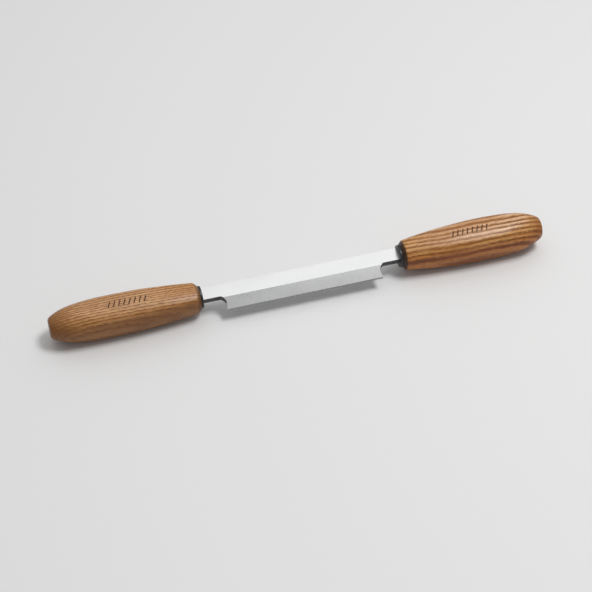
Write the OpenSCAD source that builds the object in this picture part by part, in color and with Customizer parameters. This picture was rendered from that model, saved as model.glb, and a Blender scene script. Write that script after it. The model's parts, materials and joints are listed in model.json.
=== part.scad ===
// Straight drawknife with two in-line barrel handles.
// X runs along the tool, the cutting edge faces -Y, +Z is up and the tool lies on Z = 0.
// The heavier cutting side makes it lie leaning a little forward on its crowned handles.

/* [Blade] */
// Length of the cutting edge
edge_len = 110; // [80:1:160]
// Thickness of the steel bar
bar_t = 4.5; // [3:0.1:6]
// Width of the bar where it runs into the handles
bar_w = 9.8; // [8:0.1:14]
// How far the middle of the bar lies behind the handles' axis
bar_back = 0.9; // [0:0.1:1.5]
// Step from the front of the bar to the top of the bevel
land_w = 1.2; // [0.5:0.1:4]
// Width of the ground bevel, seen from above
bevel_w = 8.6; // [6:0.1:14]
// Flat left under the bevel, at the cutting edge
edge_t = 0.15; // [0.1:0.05:0.4]
// Radius in the corner between bar and cutting part
notch_r = 4.2; // [1:0.1:6]
// Slant of the ends of the cutting part
end_slant = 1.2; // [0:0.1:4]
// Bare bar between the cutting part and each bolster
shank_len = 14.8; // [9:0.5:30]

/* [Tang] */
// Width of the tang behind its shoulders
tang_w = 7; // [5:0.1:8]
// Length of the tang from its shoulder
tang_len = 62; // [30:1:80]
// Length of the tang's pointed end
tang_tip = 8; // [2:0.5:15]

/* [Bolster] */
// Diameter of the bolster
bolster_d = 15.6; // [13:0.1:20]
// Thickness of the bolster
bolster_t = 1.6; // [1:0.1:4]
// Edge break round the bolster
bolster_break = 0.4; // [0.1:0.1:0.8]
// Play between the tang and the slot in the bolster, per side
slot_play = 0.1; // [0.05:0.05:0.3]

/* [Handle] */
// Length of a handle
grip_len = 102.8; // [80:1:130]
// Diameter at the fullest point
grip_d = 29.6; // [24:0.1:36]
// Distance of the fullest point from the butt
belly_at = 42; // [35:1:55]
// Fall of the surface from the fullest point to the bolster end
collar_drop = 4; // [2:0.1:5]
// Fall of the surface from the fullest point to the rounded butt
nose_drop = 1.9; // [1:0.1:3]
// Distance from the butt face to where that rounding starts
nose_at = 16; // [10:1:20]
// Radius of the rounded butt
nose_r = 40; // [30:1:60]
// Rounding round the butt face
butt_round = 3; // [1:0.5:5]
// Chamfer at the bolster end, along the handle
collar_chamfer = 2.4; // [1:0.1:4]
// Rim of flat wood left round the bolster
face_rim = 0.4; // [0.2:0.1:1]

/* [Sides] */
// Depth of the top and bottom sides below the turned surface at the fullest point
top_cut = 1.05; // [0.5:0.05:1.5]
// Depth of the front and back sides below it
front_cut = 1.35; // [0.5:0.05:1.8]
// Radius of the crown across each side
crown_r = 18.4; // [16:0.1:24]
// Roundness of each side from end to end
bow_r = 450; // [300:10:700]

/* [Rest] */
// Lean of the whole tool towards its cutting edge as it lies on a table
lean = 8; // [0:0.5:15]

/* [Bond] */
// Epoxy between the corners of the tang and the bore
bond_gap = 0.5; // [0.3:0.1:1]
// Depth of the bore past the end of the tang, without its drilled point
bore_spare = 2.8; // [1:0.1:6]

/* [Show] */
// Which sub-part to draw

/* [Hidden] */
$fn = 180;
eps = 0.01;

shoulder_x = edge_len / 2 + shank_len;
wood_x = shoulder_x + bolster_t;
tool_len = 2 * (wood_x + grip_len);
top_a = grip_d / 2 - top_cut;
front_a = grip_d / 2 - front_cut;
// The lowest point of the crowned underside touches Z = 0
axis_z = crown_r - (crown_r - top_a) * cos(lean);
collar_d = grip_d - 2 * collar_drop;
nose_d = grip_d - 2 * nose_drop;
face_d = bolster_d + 2 * face_rim;
bore_d = sqrt(tang_w * tang_w + bar_t * bar_t) + 2 * bond_gap;
bore_len = tang_len - bolster_t + bore_spare;

bar_front = bar_back - bar_w / 2;
land_y = bar_front - land_w;
edge_y = land_y - bevel_w;

// Radius of the arc that drops by h over the length s
function arc_r(s, h) = (s * s + h * h) / (2 * h);

fore_len = grip_len - belly_at;
fore_r = arc_r(fore_len, (grip_d - collar_d) / 2);
aft_r = arc_r(belly_at - nose_at, (grip_d - nose_d) / 2);

// Centre of the butt arc, so that it runs on smoothly from the arc before it
aft_turn = asin((belly_at - nose_at) / aft_r);
nose_c = [nose_d / 2 - nose_r * cos(aft_turn), nose_at + nose_r * sin(aft_turn)];
// Centre of the small rounding inside the butt arc, and where the two meet
round_dx = nose_c[1] - butt_round;
round_dr = sqrt(pow(nose_r - butt_round, 2) - round_dx * round_dx);
round_c = [nose_c[0] + round_dr, butt_round];
round_end = nose_c[1] - round_dx * nose_r / (nose_r - butt_round);

// Puts the tool's axis at its height, leaning towards the cutting edge
module place() {
    translate([0, 0, axis_z]) rotate([lean, 0, 0]) children();
}

// ---- blade ----

// Outline of the bar with both tangs, seen from above
module bar_outline() {
    translate([-shoulder_x, bar_front]) square([2 * shoulder_x, bar_w]);
    for (s = [-1, 1])
        polygon([[s * (shoulder_x - 1), -tang_w / 2],
                 [s * (shoulder_x + tang_len - tang_tip), -tang_w / 2],
                 [s * (shoulder_x + tang_len), -tang_w / 6],
                 [s * (shoulder_x + tang_len), tang_w / 6],
                 [s * (shoulder_x + tang_len - tang_tip), tang_w / 2],
                 [s * (shoulder_x - 1), tang_w / 2]]);
}

// Outline of the cutting part, with round corners into the bar
module cutter_outline() {
    h = edge_len / 2;
    top = bar_front - notch_r;
    difference() {
        polygon([[-h - notch_r + end_slant, bar_front + 1], [h + notch_r - end_slant, bar_front + 1],
                 [h + notch_r - end_slant, top], [h - end_slant, top], [h, edge_y],
                 [-h, edge_y], [-h + end_slant, top], [-h - notch_r + end_slant, top]]);
        for (s = [-1, 1])
            translate([s * (h + notch_r - end_slant), top]) circle(r = notch_r);
    }
}

// Section of the blade, looking along X
module blade_section() {
    y = bar_front + bar_w;
    polygon([[y, -bar_t / 2], [y, bar_t / 2], [land_y, bar_t / 2],
             [edge_y, -bar_t / 2 + edge_t], [edge_y, -bar_t / 2]]);
}

module blade() {
    color([0.78, 0.79, 0.80]) place() {
        translate([0, 0, -bar_t / 2]) linear_extrude(bar_t) bar_outline();
        intersection() {
            translate([0, 0, -bar_t / 2]) linear_extrude(bar_t) cutter_outline();
            translate([-shoulder_x, 0, 0]) rotate([90, 0, 90])
                linear_extrude(2 * shoulder_x) blade_section();
        }
    }
}

// ---- bolster ----

module bolster(side) {
    b = bolster_break;
    r = bolster_d / 2;
    color([0.20, 0.21, 0.23])
        place() translate([side * shoulder_x, 0, 0]) rotate([0, side * 90, 0])
            difference() {
                rotate_extrude()
                    polygon([[0, 0], [r - b, 0], [r, b], [r, bolster_t], [0, bolster_t]]);
                translate([0, 0, bolster_t / 2])
                    cube([bar_t + 2 * slot_play, tang_w + 2 * slot_play, bolster_t + 1],
                         center = true);
            }
}

// ---- cured epoxy round the tang ----

module bore(d, len) {
    cylinder(d = d, h = len);
    translate([0, 0, len]) cylinder(d1 = d, d2 = 0, h = d / 2 * tan(31));
}

module bond(side) {
    color([0.75, 0.66, 0.45]) place() difference() {
        translate([side * wood_x, 0, 0]) rotate([0, side * 90, 0]) bore(bore_d, bore_len);
        translate([0, 0, -bar_t / 2]) linear_extrude(bar_t) bar_outline();
    }
}

// ---- handle ----

// Region from the butt face to the length at that lies outside a disc
module outside_disc(centre, r, at, from = 0) {
    difference() {
        translate([from, -1]) square([grip_d, at + 1]);
        translate(centre) circle(r = r);
    }
}

// Half of the turned shape: radius against distance from the butt face
module turned_half() {
    r = grip_d / 2;
    difference() {
        square([r, grip_len]);
        difference() {
            translate([0, belly_at]) square([grip_d, grip_len]);
            translate([r - fore_r, belly_at]) circle(r = fore_r);
        }
        outside_disc([r - aft_r, belly_at], aft_r, belly_at);
        outside_disc(nose_c, nose_r, nose_at);
        outside_disc(round_c, butt_round, round_end, round_c[0]);
        polygon([[face_d / 2, grip_len + 1], [grip_d, grip_len + 1],
                 [grip_d, grip_len - collar_chamfer], [collar_d / 2, grip_len - collar_chamfer],
                 [face_d / 2, grip_len]]);
    }
}

// Ring whose outer surface is one side of the handle: crowned across and bowed along it
module side_ring(a) {
    translate([a - bow_r, 0, belly_at]) rotate([90, 0, 0])
        rotate_extrude() translate([bow_r - crown_r, 0]) circle(r = crown_r);
}

module handle(side) {
    color([0.72, 0.50, 0.30])
        place() translate([side * (wood_x + grip_len), 0, 0]) rotate([0, -side * 90, 0])
            difference() {
                intersection() {
                    rotate_extrude() turned_half();
                    side_ring(top_a);
                    rotate([0, 0, 180]) side_ring(top_a);
                    rotate([0, 0, 90]) side_ring(front_a);
                    rotate([0, 0, -90]) side_ring(front_a);
                }
                translate([0, 0, grip_len]) mirror([0, 0, 1]) bore(bore_d, bore_len);
            }
}

module left_bolster() bolster(-1);
module right_bolster() bolster(1);
module left_bond() bond(-1);
module right_bond() bond(1);
module left_handle() handle(-1);
module right_handle() handle(1);

blade();
left_bolster();
right_bolster();
left_bond();
right_bond();
left_handle();
right_handle();
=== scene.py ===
import json
import math

import bmesh
import bpy
from mathutils import Matrix, Vector


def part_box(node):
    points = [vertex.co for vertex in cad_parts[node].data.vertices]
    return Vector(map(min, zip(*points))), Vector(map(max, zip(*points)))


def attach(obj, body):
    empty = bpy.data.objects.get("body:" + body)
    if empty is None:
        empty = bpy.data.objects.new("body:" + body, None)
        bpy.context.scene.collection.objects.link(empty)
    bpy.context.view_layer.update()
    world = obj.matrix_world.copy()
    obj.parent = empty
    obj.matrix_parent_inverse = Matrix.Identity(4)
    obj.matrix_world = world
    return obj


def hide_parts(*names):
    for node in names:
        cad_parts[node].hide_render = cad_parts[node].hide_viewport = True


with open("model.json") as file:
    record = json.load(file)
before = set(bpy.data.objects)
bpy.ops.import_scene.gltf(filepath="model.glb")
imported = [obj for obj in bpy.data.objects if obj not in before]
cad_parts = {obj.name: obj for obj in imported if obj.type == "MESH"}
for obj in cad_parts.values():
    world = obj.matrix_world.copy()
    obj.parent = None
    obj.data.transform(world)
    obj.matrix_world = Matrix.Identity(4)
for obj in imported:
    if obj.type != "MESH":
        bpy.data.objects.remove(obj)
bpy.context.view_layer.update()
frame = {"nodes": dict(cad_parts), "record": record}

mounts = {m["name"]: m for m in frame["record"]["mounts"]}
axisHeight = mounts["left_grip"]["pos_m"][2]
backAxis = mounts["blade_back"]["axis"]
lean = math.atan2(backAxis[2], backAxis[1])  # the tool lies leaning towards its edge
bellyX = mounts["right_grip"]["pos_m"][0]    # where the handles are fullest
perMetre = 1000                              # patterns are worked out in mm
print("frame loaded")


def deselectAll():
    if bpy.context.mode != "OBJECT":
        bpy.ops.object.mode_set(mode="OBJECT")
    bpy.ops.object.select_all(action="DESELECT")


def selectOnly(piece):
    deselectAll()
    piece.select_set(True)
    bpy.context.view_layer.objects.active = piece


# opens the piece with all of it selected
def startEdit(piece):
    selectOnly(piece)
    bpy.ops.object.mode_set(mode="EDIT")
    bpy.ops.mesh.select_all(action="SELECT")


def newPiece(name):
    piece = bpy.context.active_object
    piece.name = name
    piece.data.name = name
    return piece


# selects the faces or edges that the test accepts, in the open piece
def pick(piece, kind, test):
    bpy.ops.mesh.select_mode(type=kind)
    bpy.ops.mesh.select_all(action="DESELECT")
    mesh = bmesh.from_edit_mesh(piece.data)
    mesh.normal_update()
    for part in {"EDGE": mesh.edges, "FACE": mesh.faces}[kind]:
        if test(part):
            part.select_set(True)
    mesh.select_flush_mode()
    bmesh.update_edit_mesh(piece.data)


def applyModifier(piece, kind, **settings):
    selectOnly(piece)
    modifier = piece.modifiers.new(kind.lower(), kind)
    for name, value in settings.items():
        setattr(modifier, name, value)
    bpy.ops.object.modifier_apply(modifier=modifier.name)


def cutWith(piece, tool, operation="DIFFERENCE", **settings):
    applyModifier(piece, "BOOLEAN", operation=operation, solver="EXACT", object=tool, **settings)
    bpy.data.objects.remove(tool)


def applyPlace():
    bpy.ops.object.transform_apply(location=True, rotation=True, scale=True)


# turn is the block's angle about each direction
def newBlock(name, centre, size, turn=(0, 0, 0)):
    deselectAll()
    bpy.ops.mesh.primitive_cube_add(size=1, location=centre, scale=size, rotation=turn)
    block = newPiece(name)
    applyPlace()
    return block


def closeUp(piece):  # welds doubles and turns all faces outwards
    startEdit(piece)
    bpy.ops.mesh.remove_doubles(threshold=1e-7)
    bpy.ops.mesh.normals_make_consistent(inside=False)
    deselectAll()


# draws what is selected out into new faces
def drawOut(*move):
    bpy.ops.mesh.extrude_region_move(TRANSFORM_OT_translate={"value": move})


def resize(size, centre):
    bpy.ops.transform.resize(value=size, center_override=centre)


# a round shape along X from stations of (x, radius), closed at both ends
def turnedShape(name, stations, sides):
    deselectAll()
    x, radius = stations[0]
    bpy.ops.mesh.primitive_circle_add(vertices=sides, radius=radius, fill_type="NGON",
                                      location=(x, 0, 0), rotation=(0, math.pi / 2, 0))
    piece = newPiece(name)
    applyPlace()
    startEdit(piece)
    for nextX, nextRadius in stations[1:]:
        drawOut(nextX - x, 0, 0)
        grow = nextRadius / radius
        if grow != 1:
            resize((1, grow, grow), (nextX, 0, 0))
        x, radius = nextX, nextRadius
    closeUp(piece)
    return piece


def smoothUnder(piece, degrees):
    selectOnly(piece)
    bpy.ops.object.shade_smooth_by_angle(angle=math.radians(degrees))


# sets a piece made round the tool's own axis down at its place in the frame
def setDown(piece):
    selectOnly(piece)
    piece.location = (0, 0, axisHeight)
    piece.rotation_euler = (lean, 0, 0)
    applyPlace()


def finishPiece(piece, material, slotName, *nodes):
    if material:
        piece.data.materials.clear()
        piece.data.materials.append(material)
    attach(piece, "root")
    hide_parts(*nodes)


class Wire:
    # one socket of a material, so that a pattern reads as a sum
    def __init__(self, tree, socket=None):
        self.tree = tree
        self.socket = socket

    # adds a node: first its settings, then the values or links of its sockets
    def node(self, kind, settings=None, sockets=None, out=0):
        made = self.tree.nodes.new(kind)
        for name, value in (settings or {}).items():
            if name == "stops":
                ramp = made.color_ramp
                while len(ramp.elements) < len(value):
                    ramp.elements.new(0.5)
                for element, (place, shade) in zip(ramp.elements, value):
                    element.position = place
                    element.color = (shade, shade, shade, 1)
            else:
                setattr(made, name, value)
        for key, value in (sockets or {}).items():
            if isinstance(value, Wire):
                self.tree.links.new(value.socket, made.inputs[key])
            else:
                made.inputs[key].default_value = value
        return Wire(self.tree, made.outputs[out])

    def maths(self, operation, first, second=0.0, clamp=False):
        return self.node("ShaderNodeMath", {"operation": operation, "use_clamp": clamp},
                         {0: first, 1: second})

    def __add__(self, other):
        return self.maths("ADD", self, other)

    __radd__ = __add__

    def __sub__(self, other):
        return self.maths("SUBTRACT", self, other)

    def __rsub__(self, other):
        return self.maths("SUBTRACT", other, self)

    def __mul__(self, other):
        return self.maths("MULTIPLY", self, other)

    __rmul__ = __mul__

    def __truediv__(self, other):
        return self.maths("DIVIDE", self, other)

    def __rtruediv__(self, other):
        return self.maths("DIVIDE", other, self)

    def __abs__(self):
        return self.maths("ABSOLUTE", self)

    def power(self, other):
        return self.maths("POWER", self, other)

    def clamped(self):
        return self.maths("ADD", self, 0.0, clamp=True)

    # 0 below low and 1 above high, with a soft change between
    def rise(self, low, high):
        return self.node("ShaderNodeMapRange", {"interpolation_type": "SMOOTHSTEP"},
                         {"Value": self, "From Min": low, "From Max": high})

    def ramp(self, stops):
        return self.node("ShaderNodeValToRGB", {"stops": stops}, {0: self})

    def blend(self, first, second):  # colours, by this wire's value
        first = (*first, 1) if isinstance(first, tuple) else first
        second = (*second, 1) if isinstance(second, tuple) else second
        return self.node("ShaderNodeMix", {"data_type": "RGBA"}, {0: self, 6: first, 7: second}, out=2)

    # each direction of a place, or each part of a colour, by its own number
    def times(self, by):
        return self.node("ShaderNodeVectorMath", {"operation": "MULTIPLY"}, {0: self, 1: by})

    # noise at this place, with one scale or with one for each direction
    def noise(self, scale, detail=2.0, roughness=0.5):
        if isinstance(scale, tuple):
            return self.times(scale).noise(1.0, detail, roughness)
        return self.node("ShaderNodeTexNoise", {}, {"Vector": self, "Scale": scale, "Detail": detail,
                                                    "Roughness": roughness})

    # the normal of a surface with this height
    def bump(self, strength, depth):
        return self.node("ShaderNodeBump", {}, {"Strength": strength, "Distance": depth, "Height": self})


def newMaterial(name):
    material = bpy.data.materials.new(name)
    material.use_nodes = True
    return material, Wire(material.node_tree)


# the place on the piece in millimetres, from the given centre and turned about X
def placeFrom(start, centre, turn=0.0):
    spot = start.node("ShaderNodeTexCoord", out="Object")
    moved = start.node("ShaderNodeMapping", {}, {"Vector": spot, "Location": [-perMetre * c for c in centre],
                                                 "Scale": (perMetre, perMetre, perMetre)})
    return start.node("ShaderNodeMapping", {}, {"Vector": moved, "Rotation": (turn, 0, 0)})


# links wires to the shader of the material and sets its plain values
def feed(start, links, settings):
    shader = start.tree.nodes["Principled BSDF"]
    for name, wire in links.items():
        start.tree.links.new(wire.socket, shader.inputs[name])
    for name, value in settings.items():
        shader.inputs[name].default_value = value


# what both woods share: scales are per mm, along the handle and then across it
ashBoth = {
    "wanderScale": (0.020, 0.035, 0.035),
    "shiverScale": (0.06, 0.35, 0.35),
    "strengthScale": (0.02, 0.2, 0.2),
    "fibreScale": (0.045, 2.0, 2.0),
    "fleckScale": (0.30, 1.4, 1.4),
    "poreScale": (0.16, 4.5, 4.5),
    "patchScale": (0.02, 0.05, 0.05),
    "seedStep": 40,             # mm of wood between one seed and the next
    "high": (4.0, 10.5),        # mm above the axis, from the sides up to the top
    "worn": (10.5, 13.8),       # mm above the axis, where the top is painted paler: a painted sheen of the light from overhead
    # the colour of that painted sheen
    "paintedSheenColour": (0.90, 0.62, 0.40),
    "bolsterDark": (1.7, 2.9),        # mm from the bolster, where the dark end fades
    "bolsterDarkColour": (0.022, 0.012, 0.008),
    "rough": 0.36,
    "bumpDepth": 0.00010,       # m
    "coat": {"Coat Weight": 0.12, "Coat Roughness": 0.22, "Specular IOR Level": 0.30},
}

ashLeft = {
    "pith": (0, -70.0, -14.0),  # from the handle's middle, mm
    "ringStep": 1.90,           # mm between rings
    "slope": 0.008,             # how fast the rings climb along the handle
    "wander": 0.6,              # mm that rings wander
    "shiver": 0.3,              # and how much they waver over a short way
    "bands": [(0.0, 0.95), (0.10, 1.0), (0.26, 0.42), (0.55, 0.10), (0.90, 0.0), (1.0, 0.95)],
    "light": (0.690, 0.375, 0.150),
    "dark": (0.200, 0.076, 0.020),
    "late": (0.500, 0.235, 0.080),
    "bandDepth": 1.30,
    "fibre": 0.40,
    "fleck": 0.34,
    "pores": 0.5,
    "warm": (0.360, 0.145, 0.042),
    "warmShare": 0.35,
    "buttDark": 0.58,
    "buttReach": 21.0,          # mm, along the turned nose; beyond the end grain this darkening is painted shade
    "endDark": 0.5,             # how dark the wood is made next to the bolster
    "lowBands": 0.30,           # strength of the rings low on the sides
    "pale": 0.32,               # how much paler the top is painted, as painted sheen
    "deep": (0.48, 0.36, 0.21),  # how much the wood low on the sides is darkened, as painted shade
    "seed": 3.0,
}

ashRight = {
    "pith": (0, -42.0, -15.0),
    "ringStep": 3.3,
    "slope": 0.03,
    "wander": 2.4,
    "shiver": 0.75,
    "bands": [(0.0, 0.85), (0.14, 1.0), (0.38, 0.60), (0.60, 0.16), (0.84, 0.04), (1.0, 0.85)],
    "light": (0.780, 0.440, 0.175),
    "dark": (0.240, 0.083, 0.013),
    "late": (0.600, 0.285, 0.080),
    "bandDepth": 1.25,
    "fibre": 0.36,
    "fleck": 0.22,
    "pores": 0.6,
    "warm": (0.390, 0.145, 0.032),
    "warmShare": 0.5,
    "buttDark": 0.55,
    "buttReach": 14.0,
    "endDark": 0.92,
    "lowBands": 1.0,
    "pale": 0.68,
    "deep": (0.74, 0.49, 0.26),
    "seed": 11.0,
}


def makeAsh(name, look, centreX, buttX, woodX):
    material, start = newMaterial(name)
    place = placeFrom(start, (centreX, 0, axisHeight))
    seeded = start.node("ShaderNodeVectorMath", {"operation": "ADD"},
                        {0: place, 1: (look["seed"] * ashBoth["seedStep"], 0, 0)})
    parts = start.node("ShaderNodeSeparateXYZ", {}, {0: place}).socket.node
    x, y, z = (Wire(start.tree, part) for part in parts.outputs)
    # rings round the pith, which climb and waver along the handle
    wander = seeded.noise(ashBoth["wanderScale"]) - 0.5
    shiver = seeded.noise(ashBoth["shiverScale"]) - 0.5
    across = (y - look["pith"][1]).power(2.0) + (z - look["pith"][2]).power(2.0)
    radius = across.power(0.5) + x * look["slope"] + wander * (2 * look["wander"]) \
        + shiver * look["shiver"]
    uneven = start.node("ShaderNodeCombineXYZ", {}, {0: radius * 0.11, 1: look["seed"]}).noise(1.0, 1.0)
    turn = start.maths("FRACT", radius / look["ringStep"] + uneven * 1.6)
    strength = seeded.noise(ashBoth["strengthScale"], 1.0).rise(0.25, 0.7)
    high = z.rise(*ashBoth["high"])
    band = turn.ramp(look["bands"]) * (strength * 0.35 + 0.65)
    band = band * (high * (1 - look["lowBands"]) + look["lowBands"])
    # fibres, short flecks and open pores along the grain
    fibre = seeded.noise(ashBoth["fibreScale"], 4.0, 0.6)
    fleck = seeded.noise(ashBoth["fleckScale"]).rise(0.36, 0.64)
    pore = seeded.noise(ashBoth["poreScale"], 3.0, 0.6).rise(0.56, 0.66) * (band * 0.8 + 0.2)
    tone = (band * look["bandDepth"] + (fibre - 0.5) * look["fibre"] * 2
            + (fleck - 0.5) * look["fleck"] * 2 + pore * look["pores"]).clamped()
    ground = turn.rise(0.45, 0.98).blend(look["light"], look["late"])
    # painted sheen: the top is blended towards a paler colour, as light from overhead would show it
    ground = (z.rise(*ashBoth["worn"]) * look["pale"]).blend(ground, ashBoth["paintedSheenColour"])
    colour = tone.blend(ground, look["dark"])
    patch = seeded.noise(ashBoth["patchScale"]).rise(0.35, 0.72)
    colour = (patch * look["warmShare"]).blend(colour, look["warm"])
    # painted shade: the wood is darker low on the sides, away from the light overhead
    colour = ((1 - high) * 0.9).blend(colour, colour.times(look["deep"]))
    # end grain drinks the oil, so the butt is deeper in colour; along the turned nose the same darkening is
    # painted shade, where the nose turns away from the light
    toButt = abs(x - perMetre * (buttX - centreX))
    soakedAndShaded = (1 - toButt.rise(0.5, look["buttReach"])) * look["buttDark"]
    colour = soakedAndShaded.blend(colour, look["dark"])
    # darker next to the bolster, on the inner end and its chamfer
    toBolster = abs(x - perMetre * (woodX - centreX))
    bolsterDark = (1 - toBolster.rise(*ashBoth["bolsterDark"])) * look["endDark"]
    colour = bolsterDark.blend(colour, ashBoth["bolsterDarkColour"])
    roughness = ashBoth["rough"] + band * 0.12 + (fibre - 0.5) * 0.25
    height = (fibre - 0.5) * 0.6 + (fleck - 0.5) * 0.4 - pore * 0.8 - band * 0.4
    feed(start, {"Base Color": colour, "Roughness": roughness,
                 "Normal": height.bump(0.6, ashBoth["bumpDepth"])}, ashBoth["coat"])
    return material


scorchLook = {
    "dark": (0.050, 0.020, 0.008),
    "light": (0.130, 0.052, 0.020),
    "rough": 0.6,
    "bumpDepth": 0.00008,
}


def makeScorch():
    material, start = newMaterial("scorchedWood")
    char = placeFrom(start, (0, 0, axisHeight)).noise(1.6, 3.0, 0.6)
    colour = char.rise(0.3, 0.7).blend(scorchLook["dark"], scorchLook["light"])
    roughness = scorchLook["rough"] + char * 0.3
    feed(start, {"Base Color": colour, "Roughness": roughness,
                 "Normal": char.bump(0.5, scorchLook["bumpDepth"])}, {})
    return material


bladeLook = {
    "steel": (0.70, 0.702, 0.707),
    "worn": (0.61, 0.612, 0.617),
    "rough": 0.29,
    "bumpDepth": 0.00002,
    "metal": {"Metallic": 1.0},
}


# steel with faint grinding marks across and along it
def makeBladeSteel():
    material, start = newMaterial("bladeSteel")
    place = placeFrom(start, (0, 0, axisHeight), -lean)
    cloud = place.noise((0.03, 0.09, 0.09), 3.0)
    marks = place.noise((7.0, 0.25, 0.25), 3.0, 0.6)
    alongMarks = place.noise((0.10, 9.0, 9.0), 3.0, 0.6)
    specks = place.noise(1.6, 4.0, 0.7).rise(0.66, 0.78)
    worn = (cloud.rise(0.3, 0.75) * 0.6 + specks * 0.25 + (marks - 0.5) * 0.3).clamped()
    colour = worn.blend(bladeLook["steel"], bladeLook["worn"])
    roughness = bladeLook["rough"] + (cloud - 0.5) * 0.12 + (marks - 0.5) * 0.16
    bump = (marks * 0.6 + alongMarks * 0.5).bump(0.25, bladeLook["bumpDepth"])
    feed(start, {"Base Color": colour, "Roughness": roughness, "Normal": bump}, bladeLook["metal"])
    return material


scaleLook = {
    "dark": (0.035, 0.034, 0.034),
    "light": (0.13, 0.127, 0.125),
    "rough": 0.42,
    "bumpDepth": 0.00003,
    "metal": {"Metallic": 0.6},
}


def makeScale():
    material, start = newMaterial("darkScale")
    place = placeFrom(start, (0, 0, axisHeight), -lean)
    cloud = place.noise(0.5, 3.0)
    flake = place.noise(2.2, 3.0, 0.7)
    worn = (cloud.rise(0.3, 0.7) * 0.6 + flake * 0.4).clamped()
    colour = worn.blend(scaleLook["dark"], scaleLook["light"])
    roughness = scaleLook["rough"] + (flake - 0.5) * 0.3
    bump = flake.bump(0.4, scaleLook["bumpDepth"])
    feed(start, {"Base Color": colour, "Roughness": roughness, "Normal": bump}, scaleLook["metal"])
    return material


bolsterLook = {
    "dark": (0.035, 0.036, 0.040),
    "light": (0.085, 0.085, 0.09),
    "rough": 0.38,
    "bumpDepth": 0.00002,
    "metal": {"Metallic": 0.75},
}


def makeBolsterSteel():
    material, start = newMaterial("bolsterSteel")
    place = placeFrom(start, (0, 0, axisHeight), -lean)
    cloud = place.noise(0.5, 3.0)
    scratch = place.noise((5.0, 0.6, 0.6), 3.0, 0.6)
    worn = (cloud.rise(0.3, 0.7) * 0.7 + (scratch - 0.5) * 0.5).clamped()
    colour = worn.blend(bolsterLook["dark"], bolsterLook["light"])
    roughness = bolsterLook["rough"] + (cloud - 0.5) * 0.2 + (scratch - 0.5) * 0.2
    bump = scratch.bump(0.3, bolsterLook["bumpDepth"])
    feed(start, {"Base Color": colour, "Roughness": roughness, "Normal": bump}, bolsterLook["metal"])
    return material


epoxyLook = {
    "clear": (0.62, 0.46, 0.24),
    "cloudy": (0.44, 0.30, 0.13),
    "rough": 0.25,
    "bumpDepth": 0.0001,
}


def makeEpoxy():
    material, start = newMaterial("epoxyAmber")
    place = placeFrom(start, (0, 0, axisHeight))
    cloud = place.noise(0.4, 3.0)
    bubble = place.noise(2.6, 1.0).rise(0.68, 0.74)
    milky = (cloud.rise(0.3, 0.7) * 0.7 + bubble * 0.3).clamped()
    colour = milky.blend(epoxyLook["clear"], epoxyLook["cloudy"])
    roughness = epoxyLook["rough"] + cloud * 0.15 + bubble * 0.2
    bump = (cloud - bubble).bump(0.3, epoxyLook["bumpDepth"])
    feed(start, {"Base Color": colour, "Roughness": roughness, "Normal": bump}, {})
    return material


grip = {
    "fullRadius": 0.0148,     # turned radius at the belly
    "bellyAt": 0.042,         # from the butt
    "collarDrop": 0.0040,
    "noseDrop": 0.0019,
    "noseAt": 0.016,
    "noseRadius": 0.040,
    "buttRound": 0.003,
    "chamfer": 0.0024,
    "faceRadius": 0.0082,
    "topSide": 0.01375,       # from the axis to the top and bottom sides
    "frontSide": 0.01345,     # and to the front and back sides
    "crown": 0.0208,          # radius across a side
    "bow": 0.450,             # radius along a side
    "sideReach": 0.085,       # how far a side's cutter runs each way from the belly
    "sideSteps": 44,
    "rings": 56,
    "around": 128,
    "nearButt": (0.0004, 0.0009),  # two more rings in the tight curve at the butt
    "grain": 0.00038,         # size of the faces after remeshing
    "rubs": 4,                # how often the corners are smoothed
    "handWork": 0.00035,      # how uneven the hand-planed sides are
    "handStep": 0.022,        # and over what distance
    "drillPoint": 31,         # degrees
    "drillAround": 180,
    "drillTip": 0.00002,
    "drillSpare": 0.002,      # how far the drill starts outside the wood
    "endTrim": 0.04,          # width of the block that trims both ends square
    "smooth": 35,             # degrees
}

# grow is for the whole girth, endGrow for the inner end, and lift sets it on the table
leftHand = {"grow": 0.98, "endGrow": 0.98, "lift": -0.00027}
rightHand = {"grow": 1.02, "endGrow": 0.93, "lift": 0.0002}


def arcRadius(length, drop):
    return (length * length + drop * drop) / (2 * drop)


# distance from the axis to the turned surface, at s from the butt
def turnedRadius(s, gripLength):
    full = grip["fullRadius"]
    if s > grip["bellyAt"]:
        arc = arcRadius(gripLength - grip["bellyAt"], grip["collarDrop"])
        radius = full - arc + math.sqrt(arc * arc - (s - grip["bellyAt"]) ** 2)
        left = gripLength - s
        if left < grip["chamfer"]:
            collar = full - grip["collarDrop"]
            rim = grip["faceRadius"] + (collar - grip["faceRadius"]) * left / grip["chamfer"]
            radius = min(radius, rim)
        return radius
    aftLength = grip["bellyAt"] - grip["noseAt"]
    arc = arcRadius(aftLength, grip["noseDrop"])
    if s > grip["noseAt"]:
        return full - arc + math.sqrt(arc * arc - (s - grip["bellyAt"]) ** 2)
    # a tighter arc from there, and a small rounding at the butt face
    turn = math.asin(aftLength / arc)
    noseX = grip["noseAt"] + grip["noseRadius"] * math.sin(turn)
    noseY = full - grip["noseDrop"] - grip["noseRadius"] * math.cos(turn)
    down = noseX - grip["buttRound"]
    roundY = noseY + math.sqrt((grip["noseRadius"] - grip["buttRound"]) ** 2 - down * down)
    meets = noseX - down * grip["noseRadius"] / (grip["noseRadius"] - grip["buttRound"])
    if s > meets:
        return noseY + math.sqrt(grip["noseRadius"] ** 2 - (s - noseX) ** 2)
    return roundY + math.sqrt(max(grip["buttRound"] ** 2 - (s - grip["buttRound"]) ** 2, 0))


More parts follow.
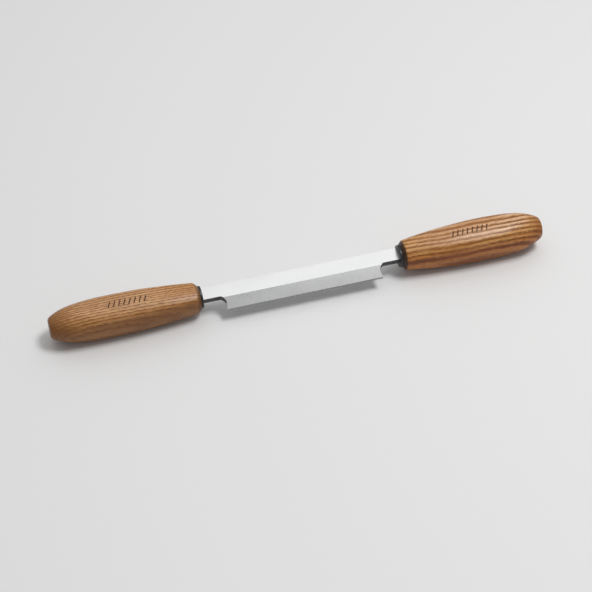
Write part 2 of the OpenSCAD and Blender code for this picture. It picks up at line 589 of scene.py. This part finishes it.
burnedRow = {
    "count": 8,
    "pitch": 0.0035,
    "fromButt": 0.0535,      # middle of the row
    "long": 0.0052,
    "wide": 0.00085,
    "deep": 0.00030,
    "high": 0.002,           # of the stamp that presses it
    "slant": 24,             # degrees
    "soft": 0.00022,         # rounding of its edges
}


# short slanted strokes pressed into the top side and scorched
def burnRow(piece, side, buttX, bellyHere, topHeight, scorch):
    row = burnedRow
    strokes = []
    for k in range(row["count"]):
        x = buttX - side * row["fromButt"] + (k - (row["count"] - 1) / 2) * row["pitch"]
        surface = topHeight - (x - bellyHere) ** 2 / (2 * grip["bow"])
        strokes.append(newBlock("stroke", (x, 0, surface + row["high"] / 2 - row["deep"]),
                                (row["wide"], row["long"], row["high"]),
                                (0, 0, -math.radians(row["slant"]))))
    deselectAll()
    for stroke in strokes:
        stroke.select_set(True)
    bpy.context.view_layer.objects.active = strokes[0]
    bpy.ops.object.join()
    applyModifier(strokes[0], "BEVEL", width=row["soft"], segments=2, limit_method="ANGLE")
    strokes[0].data.materials.append(scorch)
    cutWith(piece, strokes[0], material_mode="TRANSFER")


# a bent bar whose outer surface is one side of the handle
def sideTool(angle, apart, grow, bellyHere):
    crown, bow = grip["crown"] * grow, grip["bow"]
    outward = Vector((0, math.cos(angle), math.sin(angle)))
    axis = outward.cross(Vector((1, 0, 0)))
    centre = Vector((bellyHere, 0, 0)) + outward * (apart * grow - bow)
    reach = grip["sideReach"] / bow
    tilt = Matrix.Rotation(-reach, 3, axis)
    spot = centre + tilt @ (outward * (bow - crown))
    deselectAll()
    bpy.ops.mesh.primitive_circle_add(vertices=grip["around"], radius=crown, fill_type="NGON", location=spot,
                                      rotation=(tilt @ Matrix.Rotation(math.pi / 2, 3, "Y")).to_euler())
    tool = newPiece("sideTool")
    applyPlace()
    startEdit(tool)
    bpy.ops.mesh.spin(steps=grip["sideSteps"], angle=-2 * reach, center=centre, axis=axis)
    closeUp(tool)
    return tool


def makeHandle(side, hand, wood, scorch):
    name = "left" if side < 0 else "right"
    low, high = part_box(name + "_handle")
    buttX = low.x if side < 0 else high.x
    woodX = high.x if side < 0 else low.x
    gripLength = abs(buttX - woodX)
    bellyHere = side * bellyX
    grow, lift = hand["grow"], hand["lift"]
    # turned on the lathe, with more rings towards both ends
    stations = {*grip["nearButt"], gripLength - grip["chamfer"], gripLength - grip["chamfer"] * 0.5}
    for k in range(grip["rings"] + 1):
        stations.add(gripLength * 0.5 * (1 - math.cos(math.pi * k / grip["rings"])))
    outline = []
    for s in sorted(stations):
        share = max(s - grip["bellyAt"], 0) / (gripLength - grip["bellyAt"])
        girth = grow + (hand["endGrow"] - grow) * share * share
        outline.append((buttX - side * s, turnedRadius(s, gripLength) * girth))
    piece = turnedShape("handle_" + name, outline, grip["around"])
    for k, apart in enumerate((grip["frontSide"], grip["topSide"]) * 2):
        cutWith(piece, sideTool(math.pi + k * math.pi / 2, apart, grow, bellyHere), "INTERSECT")
    # planed by hand: soft corners and slightly uneven sides
    applyModifier(piece, "REMESH", mode="VOXEL", voxel_size=grip["grain"])
    applyModifier(piece, "SMOOTH", factor=0.5, iterations=grip["rubs"])
    uneven = bpy.data.textures.new("handWork", "CLOUDS")
    uneven.noise_scale = grip["handStep"]
    uneven.noise_depth = 1
    applyModifier(piece, "DISPLACE", texture=uneven, strength=grip["handWork"], mid_level=0.5,
                  texture_coords="LOCAL")
    piece.location.z = lift
    applyPlace()
    piece.data.materials.append(wood)
    burnRow(piece, side, buttX, bellyHere, grip["topSide"] * grow + lift, scorch)
    # the drilled bore that the glue fills
    glueLow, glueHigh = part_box(name + "_bond")
    boreRadius = (glueHigh.y - glueLow.y) / 2
    boreEnd = glueLow.x if side < 0 else glueHigh.x
    point = boreRadius * math.tan(math.radians(grip["drillPoint"]))
    drill = [(woodX - side * grip["drillSpare"], boreRadius), (boreEnd - side * point, boreRadius),
             (boreEnd, grip["drillTip"])]
    cutWith(piece, turnedShape("drill", drill, grip["drillAround"]))
    cutWith(piece, newBlock("trim", ((buttX + woodX) / 2, 0, 0),
                            (gripLength, grip["endTrim"], grip["endTrim"])), "INTERSECT")
    smoothUnder(piece, grip["smooth"])
    setDown(piece)
    finishPiece(piece, None, "ash_" + name, name + "_handle")
    print("handle", name, len(piece.data.polygons))


blade = {
    "barWidth": 0.0098,
    "barBack": 0.0009,       # middle of the bar behind the axis
    "thick": 0.0045,
    "land": 0.0012,
    "bevel": 0.0086,
    "edge": 0.00015,
    "half": 0.055,           # half the cutting edge
    "slant": 0.0012,
    "notch": 0.0042,
    "notchSteps": 10,
    "tangWidth": 0.007,
    "tangLength": 0.062,
    "tangTip": 0.008,
    "tipShare": 0.34,        # width of the tang's tip against the tang's own
    "hone": 0.0009,          # width of the small honed bevel at the edge
    "honeTurn": 11.0,        # degrees that it is steeper
    "wheel": (0.3, 0.06, 0.04),  # size of the block that grinds the bevel
    "soft": 0.00016,         # rounding of its corners
    "spare": 0.0002,         # how far the dark scale stays off or runs on at those corners
    "corner": 25,            # degrees from which a corner is rounded
    "smooth": 10,            # degrees
}


def makeBlade():
    b = blade
    near = 1e-5  # m, for picking by place
    front = b["barBack"] - b["barWidth"] / 2
    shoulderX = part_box("right_bolster")[0].x
    thick = b["thick"]
    piece = newBlock("blade_ground", (0, b["barBack"], 0), (2 * shoulderX, b["barWidth"], thick))
    # the cutting part is drawn forward out of the middle of the bar
    rootX = b["half"] - b["slant"]
    for x in (-rootX, rootX):
        startEdit(piece)
        bpy.ops.mesh.bisect(plane_co=(x, 0, 0), plane_no=(1, 0, 0))
    pick(piece, "FACE", lambda f: f.normal.y < -0.9 and abs(f.calc_center_median().x) < 0.001)
    reach = b["land"] + b["bevel"]
    drawOut(0, -reach, 0)
    resize((b["half"] / rootX, 1, 1), (0, 0, 0))
    # round corners between the bar and the cutting part
    pick(piece, "EDGE", lambda e: all(abs(abs(v.co.x) - rootX) < near and abs(v.co.y - front) < near
                                      for v in e.verts))
    bpy.ops.mesh.bevel(offset=b["notch"], segments=b["notchSteps"], affect="EDGES", offset_type="OFFSET")
    # tangs, drawn out behind their shoulders
    shrink = b["tangWidth"] / b["barWidth"]
    about = (-b["tangWidth"] / 2 - front * shrink) / (1 - shrink)
    for side in (-1, 1):
        pick(piece, "FACE", lambda f: f.normal.x * side > 0.9
             and abs(f.calc_center_median().x - side * shoulderX) < near)
        drawOut(0, 0, 0)
        resize((1, shrink, 1), (0, about, 0))
        drawOut(side * (b["tangLength"] - b["tangTip"]), 0, 0)
        drawOut(side * b["tangTip"], 0, 0)
        resize((1, b["tipShare"], 1), (0, 0, 0))
    # ground on one side, then honed at the very edge
    edgeY = front - reach
    fall = math.atan2(thick - b["edge"], b["bevel"])
    honeStart = Vector((0, edgeY + b["hone"], -thick / 2 + b["edge"] + b["hone"] * math.tan(fall)))
    for spot, turn in ((Vector((0, edgeY, -thick / 2 + b["edge"])), fall),
                       (honeStart, fall + math.radians(b["honeTurn"]))):
        up = Vector((0, -math.sin(turn), math.cos(turn)))
        cutWith(piece, newBlock("wheel", spot + up * (b["wheel"][2] / 2), b["wheel"], (turn, 0, 0)))
    closeUp(piece)
    applyModifier(piece, "BEVEL", width=b["soft"], segments=2, limit_method="ANGLE",
                  angle_limit=math.radians(b["corner"]))
    smoothUnder(piece, b["smooth"])
    applyModifier(piece, "WEIGHTED_NORMAL", keep_sharp=True)
    # the front of each shank and the corners by it keep their dark scale
    piece.data.materials.append(makeBladeSteel())
    piece.data.materials.append(makeScale())
    for face in piece.data.polygons:
        spot = face.center
        upright = abs(face.normal.z) < 0.4
        if upright and spot.y < front + b["spare"] \
                and rootX - b["spare"] < abs(spot.x) < shoulderX - b["spare"]:
            face.material_index = 1
    setDown(piece)
    finishPiece(piece, None, "blade_steel", "blade")
    print("blade", len(piece.data.polygons))


washer = {
    "radius": 0.0078,
    "thick": 0.0016,
    "rim": 0.0004,       # rounding of the outer rim
    "rimSteps": 4,
    "around": 96,
    "slotWide": 0.0072,
    "slotHigh": 0.0047,
    "smooth": 30,        # degrees
}


def makeBolsters(steel):
    w = washer
    for side, name in ((-1, "left"), (1, "right")):
        low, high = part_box(name + "_bolster")
        inner = high.x if side < 0 else low.x
        stations = [(0, w["radius"] - w["rim"])]
        for k in range(1, w["rimSteps"] + 1):
            turn = math.pi / 2 * k / w["rimSteps"]
            stations.append((w["rim"] * (1 - math.cos(turn)),
                             w["radius"] - w["rim"] * (1 - math.sin(turn))))
        stations.append((w["thick"] - w["rim"] / 2, w["radius"]))
        stations.append((w["thick"], w["radius"] - w["rim"] / 2))
        piece = turnedShape("bolster_" + name, [(inner + side * s, r) for s, r in stations], w["around"])
        cutWith(piece, newBlock("slot", (inner + side * w["thick"] / 2, 0, 0),
                                (w["thick"] * 2, w["slotWide"], w["slotHigh"])))
        smoothUnder(piece, w["smooth"])
        setDown(piece)
        finishPiece(piece, steel, "bolster_steel", name + "_bolster")
    print("bolsters")


makeBlade()
makeBolsters(makeBolsterSteel())
scorch = makeScorch()
middleX = (abs(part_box("left_handle")[0].x) + abs(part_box("left_handle")[1].x)) / 2
innerX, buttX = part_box("right_handle")[0].x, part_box("right_handle")[1].x
makeHandle(-1, leftHand, makeAsh("ashLeft", ashLeft, -middleX, -buttX, -innerX), scorch)
makeHandle(1, rightHand, makeAsh("ashRight", ashRight, middleX, buttX, innerX), scorch)

epoxy = makeEpoxy()
for name in ("left_bond", "right_bond"):
    node = frame["nodes"][name]
    node.data.materials.clear()
    node.data.materials.append(epoxy)
print("glue")


studio = {
    "floor": (0.81, 0.81, 0.81),
    "floorSize": 8,                     # m
    "floorShade": 0.985,                # its darkest places against its own colour
    "floorRough": 0.75,
    "keyPlace": (0.60, -0.10, 1.60),
    "keySize": 0.60,
    "keyRatio": 0.7,                    # its short side against its long one
    "keyPower": 13.6,
    "skyMiddle": (0.15, 0.42, 0.895),   # the brightest part of the soft light overhead
    "skyFade": 4.0,                     # how fast it fades away from there
    "skyLow": 0.24,
    "skyHigh": 0.91,
}

deselectAll()
bpy.ops.mesh.primitive_grid_add(x_subdivisions=8, y_subdivisions=8, size=studio["floorSize"],
                                location=(0, 0, 0))
floor = newPiece("floor")
material, start = newMaterial("paleFloor")
mottle = start.node("ShaderNodeTexCoord", out="Object").noise(3.0)
tint = mottle.blend(studio["floor"], tuple(c * studio["floorShade"] for c in studio["floor"]))
feed(start, {"Base Color": tint, "Roughness": studio["floorRough"] + mottle * 0.1},
     {"Specular IOR Level": 0.2})
floor.data.materials.append(material)

bpy.ops.object.light_add(type="AREA", location=studio["keyPlace"])
key = bpy.context.active_object
key.data.shape = "RECTANGLE"
key.data.size = studio["keySize"]
key.data.size_y = studio["keySize"] * studio["keyRatio"]
key.data.energy = studio["keyPower"]
key.rotation_euler = (-Vector(studio["keyPlace"])).to_track_quat("-Z", "Y").to_euler()

# soft light from overhead and a little behind, fading towards the horizon
world = bpy.data.worlds.new("studioWorld")
world.use_nodes = True
sky = Wire(world.node_tree)
direction = sky.node("ShaderNodeTexCoord", out="Generated")
towards = sky.node("ShaderNodeVectorMath", {"operation": "DOT_PRODUCT"},
                   {0: direction, 1: studio["skyMiddle"]}, out="Value")
glow = sky.maths("MAXIMUM", towards, 0.0).power(studio["skyFade"])
strength = glow * studio["skyHigh"] + studio["skyLow"]
lamp = world.node_tree.nodes["Background"]
lamp.inputs["Color"].default_value = (1, 1, 1, 1)
world.node_tree.links.new(strength.socket, lamp.inputs["Strength"])
bpy.context.scene.world = world
bpy.context.scene.view_settings.view_transform = "Standard"

view = {
    "azimuth": -15.688,      # degrees
    "elevation": 48.0,
    "distance": 1.1832,
    "target": (-0.00467, -0.00444, 0),
    "lens": 104.604,         # mm
    "sensor": 36,
}

around, above = math.radians(view["azimuth"]), math.radians(view["elevation"])
back = Vector((math.sin(around) * math.cos(above), -math.cos(around) * math.cos(above), math.sin(above)))
bpy.ops.object.camera_add(location=Vector(view["target"]) + back * view["distance"])
camera = bpy.context.active_object
camera.rotation_euler = back.to_track_quat("Z", "Y").to_euler()
camera.data.lens = view["lens"]
camera.data.sensor_width = view["sensor"]
bpy.context.scene.camera = camera
print("studio and camera")
